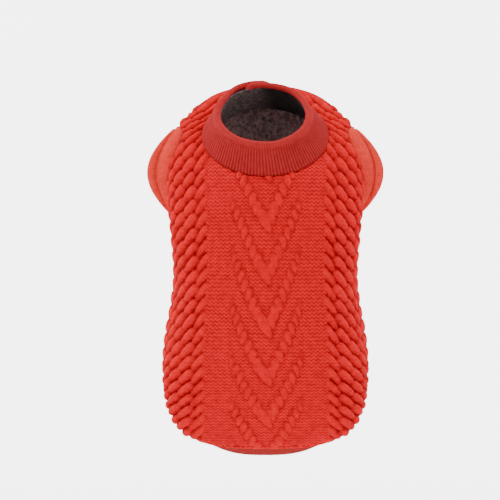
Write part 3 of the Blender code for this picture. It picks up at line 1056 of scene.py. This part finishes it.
def neck_points(angle, radius, height, shift):
    """Points round the slanted neck, so high above its seam."""
    across, back = radius * np.sin(angle), -radius * np.cos(angle)
    up, out = math.sin(NECK_TILT), math.cos(NECK_TILT)
    return np.stack([across + shift, back * out - height * up, back * up + height * out], axis=-1)


class OBJECT_OT_sweater_collar(bpy.types.Operator):
    """Makes the folded rib collar, lapped over itself at the throat"""

    bl_idname = "sweater.collar"
    bl_label = "Collar"

    def execute(self, context):
        rib = context.scene.sweater_rib
        turns = np.linspace(COLLAR_START - COLLAR_TAPER, COLLAR_END, 1200)
        roll = rib.roll / MM * (0.84 + 0.16 * np.cos(turns))
        wall = [(55.5, -1.2), (57.0, -0.4), (57.7, 0.8)]
        wall += [(57.7 - 12.8 * t**0.9, 0.8 + 21.6 * t) for t in np.linspace(0.08, 0.95, 14)]
        inside = [(40.0, 20.0), (41.2, 16.0), (46.0, 7.0), (50.4, -1.0)]
        circle = np.radians(np.linspace(-25, 205, 15))[:, None]
        rim_radius = COLLAR_INSIDE + roll * (1 + np.cos(circle))
        rim_height = COLLAR_HEIGHT - roll * (1 - np.sin(circle))
        wall, inside = (np.array(part)[:, :, None] + 0 * turns for part in (wall, inside))
        radius = np.vstack([wall[:, 0], rim_radius, inside[:, 0]])
        height = np.vstack([wall[:, 1], rim_height, inside[:, 1]])
        ribs = np.clip(1 - ease(height, 19, 25) * 0.62, 0, 1)
        sunk = ease(turns, COLLAR_START, COLLAR_START - COLLAR_TAPER)
        lap = COLLAR_LAP_STEP * ease(turns, COLLAR_LAP_FROM, COLLAR_LAP_FULL)
        lap = lap - (COLLAR_LAP_STEP + 0.3) * sunk
        tip = np.clip((turns - COLLAR_END + COLLAR_TIP) / COLLAR_TIP, 0, 1)
        low = 6.5 * (1 - np.sqrt(1 - tip**2)) + 2.4 * sunk
        low = low + 0.8 * (1 + np.cos(turns)) + 1.3 * ease(lap, 0, COLLAR_LAP_STEP)
        low = low - COLLAR_DIP * np.exp(-(((turns - COLLAR_DIP_AT) / COLLAR_DIP_SPREAD) ** 2))
        wave = 0.35 * np.sin(3 * turns + 0.6) + 0.25 * np.sin(7 * turns)
        lift = np.clip(height / COLLAR_HEIGHT, 0, 1)
        radius = radius + lap + 0.25 * low * lift
        height = height - (low + wave) * lift**2
        shift = COLLAR_RIM_SHIFT * height / COLLAR_HEIGHT
        grid = neck_points(turns[None, :], radius, height, shift)
        run = np.tile(turns * COLLAR_RIB_RADIUS, (len(grid), 1))
        yarn = yarn_material("rib_collar", rib.red, rib.groove_shadow_red, fuzz=0.25)
        grid, ribs, run = grid[::-1], ribs[::-1], run[::-1]
        piece = ribbed_piece("rib_collar", grid, ribs, run, yarn, rib)
        settle(piece, ["collar"])
        return {"FINISHED"}


HEM_COLUMNS = 1500
HEM_RIBBED = 0.8


class OBJECT_OT_sweater_hem(bpy.types.Operator):
    """Makes the rib hem that curls under"""

    bl_idname = "sweater.hem"
    bl_label = "Hem"

    def execute(self, context):
        rib, knit = context.scene.sweater_rib, context.scene.sweater_knit
        places = np.linspace(HEM_SEAM - 0.15, HEM_EDGE, 12)
        shares = np.tile(np.linspace(-1, 1, HEM_COLUMNS, endpoint=False), (len(places), 1))
        points, _ = body_grid(places, shares, knit)
        padded = np.concatenate([points[:, -1:], points, points[:, :1]], axis=1)
        normal = face_normals(padded)[:, 1:-1]
        outer = points - 0.9 * normal
        edge = points[-1] + (points[-1] - points[-2]) * 0.12 - 2.0 * normal[-1]
        inner = (points - 3.2 * normal)[::-1][:6]
        grid = np.concatenate([outer, edge[None], inner])
        run = run_round(grid[6], rib.hem_pitch / MM, rib.pitch / MM, len(grid))
        yarn = yarn_material("rib_hem", rib.hem_red, rib.groove_shadow_red, fuzz=0.25)
        piece = ribbed_piece("rib_hem", grid, HEM_RIBBED, run, yarn, rib, True)
        settle(piece, ["hem_band"])
        return {"FINISHED"}


def napped(points, normal, depth):
    """Points moved in and out along their normals, as brushed fleece is."""
    a, b, c = points[..., 0], points[..., 1], points[..., 2]
    rough = drift(a + 0.3 * b, c, 2.6, 7) + 0.6 * drift(b - 0.2 * a, c + 0.4 * a, 1.5, 8)
    return points + depth * rough[..., None] * normal


# The radius of the collar's lining at each height

COLLAR_LINING = (
    Level(22.0, 38.0),
    Level(20.0, 38.3),
    Level(15.0, 40.2),
    Level(8.5, 43.6),
    Level(1.0, 46.6),
    Level(-3.5, 47.9),
    Level(-8.0, 48.6),
)
# Painted shade on the collar's lining: darker all round inside the neck, and a near-black painted
# shadow at one side of the throat, centred at a turn given in degrees.
NECK_SHADE = 0.31
SHADOW_PATCH_SHADE = 0.02
SHADOW_PATCH_AT = 146


class OBJECT_OT_sweater_lining(bpy.types.Operator):
    """Lines the body and the collar with fleece"""

    bl_idname = "sweater.lining"
    bl_label = "Fleece lining"

    def body_half(self, name, columns, lining, fleece, knit, belly):
        places = np.linspace(0.12, HEM_SEAM + 0.25, 150)
        points, _ = body_grid(places, shares_across(places, columns, belly), knit)
        normal = face_normals(points)
        cut, faces, _ = cut_armholes(points, grid_faces(*points.shape[:2]))
        outer = (cut - LINING_DEPTH * normal).reshape(-1, 3)
        inner = cut - (LINING_DEPTH + lining.wall / MM) * normal
        inner = napped(inner, normal, NAP).reshape(-1, 3)
        used, renumbered = np.unique(faces, return_inverse=True)
        vertices, walls = shell(outer[used], inner[used], renumbered.reshape(-1, 4))
        piece = new_piece(name, vertices, walls, fleece, {"shade": np.ones(len(vertices))})
        settle(piece, [name.replace("fleece", "lining")])
        return piece, surface_area(cut.reshape(-1, 3), faces)

    def execute(self, context):
        lining, knit = context.scene.sweater_lining, context.scene.sweater_knit
        fleece = fleece_material("fleece", lining.dark, lining.light)
        piece, area = self.body_half("fleece_back", 130, lining, fleece, knit, belly=False)
        piece, area = self.body_half("fleece_belly", 90, lining, fleece, knit, belly=True)

        rows = np.arange(len(COLLAR_LINING))
        at = np.linspace(0, rows[-1], 36)[:, None]
        height, radius = (np.interp(at, rows, column) for column in np.transpose(COLLAR_LINING))
        turns = np.linspace(-math.pi, math.pi, 260, endpoint=False)
        height = height + 1.3 * ease(height, 8, 22) * (1 - np.cos(turns))
        shift = COLLAR_RIM_SHIFT * height / COLLAR_HEIGHT
        grid = neck_points(turns, radius, height, shift)
        outward = neck_points(turns, 1.0, 0.0, 0.0)[None] * np.ones((len(at), 1, 1))
        faces = grid_faces(*grid.shape[:2], closed_round=True)
        thick = (grid + lining.wall / MM * outward).reshape(-1, 3)
        soft = napped(grid, outward, NAP).reshape(-1, 3)
        vertices, walls = shell(thick, soft, faces)
        # The near-black painted shadow patch, fading out to the neck's painted shade.
        toward = np.abs((np.degrees(turns) - SHADOW_PATCH_AT + 180) % 360 - 180)
        shade = SHADOW_PATCH_SHADE + (NECK_SHADE - SHADOW_PATCH_SHADE) * ease(toward, 20, 50)
        shade = np.tile(shade, (2 * len(at), 1)).ravel()
        piece = new_piece("fleece_collar", vertices, walls, fleece, {"shade": shade})
        settle(piece, ["lining_collar"])
        return {"FINISHED"}


class Lamp(NamedTuple):
    """A square lamp, with its place, target and size in metres and its power in watts."""

    name: str
    place: tuple
    target: tuple
    size: float
    power: float


LAMPS = (
    Lamp("key", (-1.1, -1.5, 1.7), (0, 0, -0.12), 0.7, 44.0),
    Lamp("fill", (1.6, -1.5, 0.2), (0, 0, -0.12), 1.4, 12.0),
    Lamp("backdrop left", (-1.3, 0.55, 1.1), (-0.2, 1.7, 0.1), 0.8, 44.0),
    Lamp("backdrop right", (1.3, 0.55, 1.1), (0.2, 1.7, 0.1), 0.8, 44.0),
)
FLOOR_REACH = 14.0
COVE = 0.9
BACKDROP_TOP = 3.2
WORLD_LIGHT = 0.36

# What only the camera sees, so that the floor and the world look as pale from every side

FLOOR_GLOW = 3.0
WORLD_GLOW = 4.0
LENS = 159.3
CAMERA_X = -0.0139
CAMERA_Z = -0.1035


class OBJECT_OT_sweater_stage(bpy.types.Operator):
    """Sets the floor, the backdrop, the lights and the camera"""

    bl_idname = "sweater.stage"
    bl_label = "Stage"

    def execute(self, context):
        stage = context.scene.sweater_stage
        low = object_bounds()[0][2] - stage.floor_gap
        mesh = bpy.data.meshes.new("floor")
        turns = np.linspace(0, math.pi / 2, 24)
        line = [(-FLOOR_REACH, 0.0)]
        line += [(COVE + COVE * math.sin(t), COVE - COVE * math.cos(t)) for t in turns]
        line += [(2 * COVE, BACKDROP_TOP)]
        points = [(x, y, low + z) for y, z in line for x in (-FLOOR_REACH, FLOOR_REACH)]
        faces = [(2 * i, 2 * i + 1, 2 * i + 3, 2 * i + 2) for i in range(len(line) - 1)]
        mesh.from_pydata(points, [], faces)
        mesh.shade_smooth()
        material, tree, shader = new_material("pale floor")
        bump = node(tree, "ShaderNodeBump", {"Height": noise(tree, 30.0, 2.0), "Strength": 0.02})
        tree.links.new(bump.outputs["Normal"], shader.inputs["Normal"])
        seen = node(tree, "ShaderNodeLightPath").outputs["Is Camera Ray"]
        glow = maths(tree, "MULTIPLY", seen, FLOOR_GLOW)
        tree.links.new(glow, shader.inputs["Emission Strength"])
        shader.inputs["Emission Color"].default_value = (1, 1, 1, 1)
        shader.inputs["Base Color"].default_value = tuple(stage.floor_colour)
        shader.inputs["Roughness"].default_value = 0.9
        mesh.materials.append(material)
        floor = add_object("floor", mesh)
        floor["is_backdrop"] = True

        world = bpy.data.worlds.new("studio")
        world.use_nodes = True
        tree = world.node_tree
        background = tree.nodes["Background"].inputs
        background["Color"].default_value = (1, 1, 1, 1)
        seen = node(tree, "ShaderNodeLightPath").outputs["Is Camera Ray"]
        strength = maths(tree, "MULTIPLY_ADD", seen, WORLD_GLOW, WORLD_LIGHT)
        tree.links.new(strength, background["Strength"])
        context.scene.world = world
        for lamp in LAMPS:
            light = bpy.data.lights.new(lamp.name, "AREA")
            light.energy = lamp.power
            light.size = lamp.size
            made = add_object(lamp.name, light)
            made.location = lamp.place
            toward = Vector(lamp.target) - Vector(lamp.place)
            made.rotation_euler = toward.to_track_quat("-Z", "Y").to_euler()

        lens = bpy.data.cameras.new("camera")
        lens.sensor_width = 36
        lens.lens = LENS
        camera = add_object("camera", lens)
        camera.location = (CAMERA_X, -stage.camera_distance, CAMERA_Z)
        camera.rotation_euler = (math.pi / 2, 0, 0)
        context.scene.camera = camera
        return {"FINISHED"}


OPERATORS = (
    OBJECT_OT_sweater_panels,
    OBJECT_OT_sweater_sleeves,
    OBJECT_OT_sweater_collar,
    OBJECT_OT_sweater_hem,
    OBJECT_OT_sweater_lining,
    OBJECT_OT_sweater_stage,
)
GROUPS = {
    "sweater_knit": SweaterKnit,
    "sweater_rib": SweaterRib,
    "sweater_sleeve": SweaterSleeve,
    "sweater_lining": SweaterLining,
    "sweater_stage": SweaterStage,
}


class VIEW3D_PT_sweater(bpy.types.Panel):
    """Lists the sweater's pieces and their sizes"""

    bl_idname = "VIEW3D_PT_sweater"
    bl_label = "Dog Sweater"
    bl_space_type = "VIEW_3D"
    bl_region_type = "UI"
    bl_category = "Sweater"

    def draw(self, context):
        layout = self.layout
        for key, group in GROUPS.items():
            box = layout.box()
            box.label(text=group.__doc__)
            for name in group.__annotations__:
                box.prop(getattr(context.scene, key), name)
        for operator in OPERATORS:
            layout.operator(operator.bl_idname)


def register():
    for group in GROUPS.values():
        bpy.utils.register_class(group)
    for key, group in GROUPS.items():
        setattr(bpy.types.Scene, key, bpy.props.PointerProperty(type=group))
    for operator in OPERATORS:
        bpy.utils.register_class(operator)
    bpy.utils.register_class(VIEW3D_PT_sweater)


def unregister():
    bpy.utils.unregister_class(VIEW3D_PT_sweater)
    for operator in reversed(OPERATORS):
        bpy.utils.unregister_class(operator)
    for key in GROUPS:
        delattr(bpy.types.Scene, key)
    for group in reversed(GROUPS.values()):
        bpy.utils.unregister_class(group)


def main():
    register()
    bpy.ops.sweater.panels()
    bpy.ops.sweater.sleeves()
    bpy.ops.sweater.collar()
    bpy.ops.sweater.hem()
    bpy.ops.sweater.lining()
    bpy.ops.sweater.stage()


if __name__ == "__main__":
    main()
